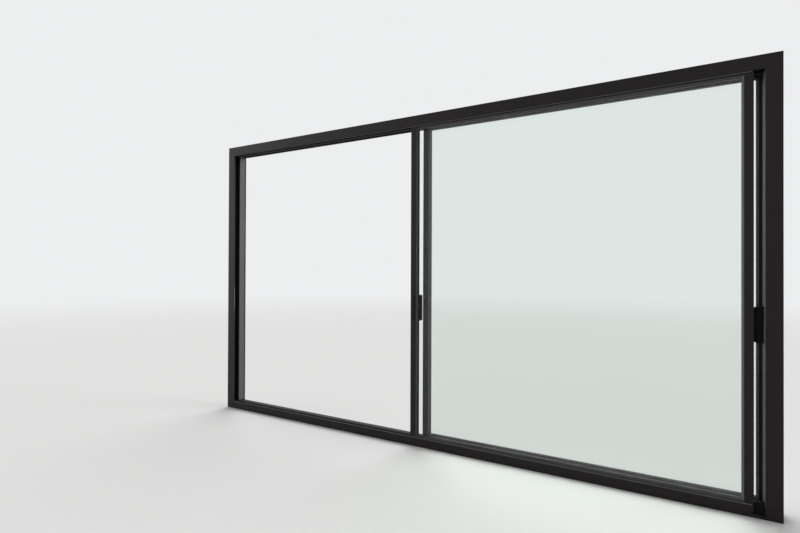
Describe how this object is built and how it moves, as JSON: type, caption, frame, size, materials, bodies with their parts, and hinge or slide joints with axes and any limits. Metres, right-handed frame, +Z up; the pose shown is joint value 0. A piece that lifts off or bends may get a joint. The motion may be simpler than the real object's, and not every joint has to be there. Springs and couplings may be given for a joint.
{
  "type": "sliding glass door",
  "caption": "Wide sliding terrace door: dark aluminium frame with two tracks, tall glazed leaves that overlap, bow and flush pulls, rollers and a low sill.",
  "frame": {"origin": "middle of the sill's underside, at mid-depth of the frame", "axes": "+X along the door to the right as seen from the room, +Y outdoors through the door, +Z up"},
  "size_m": [4.13, 0.145, 2.4],
  "materials": {
    "anthracite_powder_coat": "satin",
    "cover_grey": "satin",
    "black_pull": "satin",
    "spacer_aluminium": "satin",
    "stainless_steel": "satin",
    "black_polyamide": "matte",
    "gasket_rubber": "matte",
    "pile_brush": "matte",
    "pane_glass": "gloss"
  },
  "bodies": {
    "door_frame": {"drain_hoods": "black_polyamide", "frame_centre_fins": "black_polyamide", "frame_head": "anthracite_powder_coat", "frame_jamb_left": "anthracite_powder_coat", "frame_jamb_right": "anthracite_powder_coat", "frame_sill": "anthracite_powder_coat", "frame_thermal_bars": "black_polyamide", "jamb_cover_left": "cover_grey", "jamb_cover_right": "cover_grey", "leaf_outer_bottom_rail": "anthracite_powder_coat", "leaf_outer_gaskets": "gasket_rubber", "leaf_outer_glass_outdoor": "pane_glass", "leaf_outer_glass_room": "pane_glass", "leaf_outer_glazing_beads": "anthracite_powder_coat", "leaf_outer_interlock_stile": "anthracite_powder_coat", "leaf_outer_lift_guards": "black_polyamide", "leaf_outer_lock_faceplate": "stainless_steel", "leaf_outer_lock_stile": "anthracite_powder_coat", "leaf_outer_pull_outdoor": "black_pull", "leaf_outer_pull_room": "black_pull", "leaf_outer_roller_carriages": "stainless_steel", "leaf_outer_rollers": "black_polyamide", "leaf_outer_setting_blocks": "black_polyamide", "leaf_outer_spacer_bars": "spacer_aluminium", "leaf_outer_thermal_bars": "black_polyamide", "leaf_outer_top_rail": "anthracite_powder_coat", "lock_keepers": "stainless_steel", "seal_brushes_centre": "pile_brush", "seal_brushes_outdoor": "pile_brush", "seal_brushes_room": "pile_brush", "stop_buffers": "gasket_rubber", "track_rail_inner": "stainless_steel", "track_rail_outer": "stainless_steel"},
    "sliding_leaf": {"leaf_inner_bottom_rail": "anthracite_powder_coat", "leaf_inner_gaskets": "gasket_rubber", "leaf_inner_glass_outdoor": "pane_glass", "leaf_inner_glass_room": "pane_glass", "leaf_inner_glazing_beads": "anthracite_powder_coat", "leaf_inner_interlock_stile": "anthracite_powder_coat", "leaf_inner_lift_guards": "black_polyamide", "leaf_inner_lock_faceplate": "stainless_steel", "leaf_inner_lock_stile": "anthracite_powder_coat", "leaf_inner_pull_outdoor": "black_pull", "leaf_inner_pull_room": "black_pull", "leaf_inner_roller_carriages": "stainless_steel", "leaf_inner_rollers": "black_polyamide", "leaf_inner_setting_blocks": "black_polyamide", "leaf_inner_spacer_bars": "spacer_aluminium", "leaf_inner_thermal_bars": "black_polyamide", "leaf_inner_top_rail": "anthracite_powder_coat"}
  },
  "joints": [
    {"name": "leaf_slide", "type": "slide", "parent": "door_frame", "child": "sliding_leaf", "axis": [1, 0, 0], "range_m": [-1.892, 0]}
  ]
}
